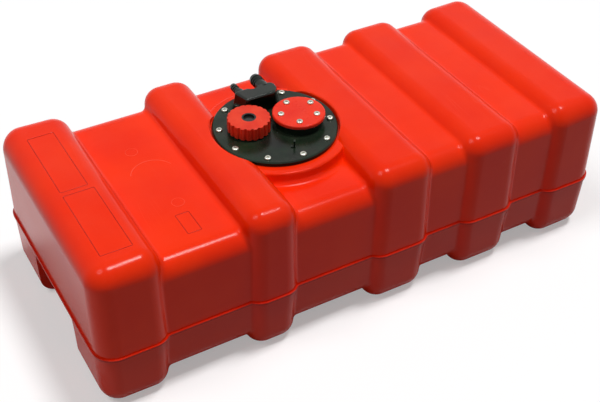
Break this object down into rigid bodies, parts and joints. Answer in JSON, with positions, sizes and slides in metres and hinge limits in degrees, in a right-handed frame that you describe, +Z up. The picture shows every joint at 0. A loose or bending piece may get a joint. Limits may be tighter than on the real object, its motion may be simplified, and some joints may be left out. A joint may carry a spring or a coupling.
{
  "type": "outboard fuel tank",
  "caption": "Long low ribbed moulded fuel tank for an outboard motor, with a round black flange plate, a screw-on fluted filler cap, a blanked gauge opening and hose tails for fuel and vent.",
  "frame": {"origin": "middle of the tank's footprint, on the plane its feet stand on", "axes": "+X along the tank, with the filler nearer to -X; +Y across it, the way the hose tails point; +Z up"},
  "size_m": [0.8008, 0.3618, 0.2572],
  "materials": {
    "tank_plastic": "semi-gloss moulded polyethylene",
    "flange_plastic": "black moulded nylon, semi-gloss",
    "cap_plastic": "red moulded nylon, satin",
    "cover_plastic": "red moulded nylon, semi-gloss",
    "plug_plastic": "black moulded nylon, glossy",
    "seal_rubber": "black nitrile rubber",
    "stainless_screws": "stainless steel",
    "valve_steel": "polished stainless steel",
    "brass": "turned brass",
    "tube_aluminium": "drawn tube",
    "strainer_plastic": "natural nylon"
  },
  "bodies": {
    "root": {"tank_shell": "tank_plastic", "tank_inserts": "brass", "flange_gasket": "seal_rubber", "flange_plate": "flange_plastic", "flange_screws": "stainless_screws", "cover_gasket": "seal_rubber", "gauge_cover": "cover_plastic", "cover_screws": "stainless_screws", "outlet_housing": "flange_plastic", "housing_seals": "seal_rubber", "housing_screws": "stainless_screws", "pickup_tube": "tube_aluminium", "pickup_strainer": "strainer_plastic", "valve_seat": "brass", "valve_spring": "valve_steel"},
    "plug": {"cap_plug": "plug_plastic", "cap_gasket": "seal_rubber"},
    "cap": {"filler_cap": "cap_plastic"},
    "ball": {"valve_ball": "valve_steel"}
  },
  "joints": [
    {"name": "cap_lift", "type": "slide", "parent": "root", "child": "plug", "axis": [0, 0, 1], "range_m": [0, 0.0121]},
    {"name": "cap_turn", "type": "hinge", "parent": "plug", "child": "cap", "pos_m": [-0.0925, 0.0068, 0.24], "axis": [0, 0, 1], "range_deg": [0, 720]},
    {"name": "ball_lift", "type": "slide", "parent": "root", "child": "ball", "axis": [0, 0, 1], "range_m": [0, 0.002], "stiffness_N_per_m": 60, "springref_m": -0.002, "deforming": ["valve_spring"]}
  ],
  "couplings": [
    {"joint": "cap_lift", "follows": "cap_turn", "m_per_rad": 0.00095493}
  ]
}
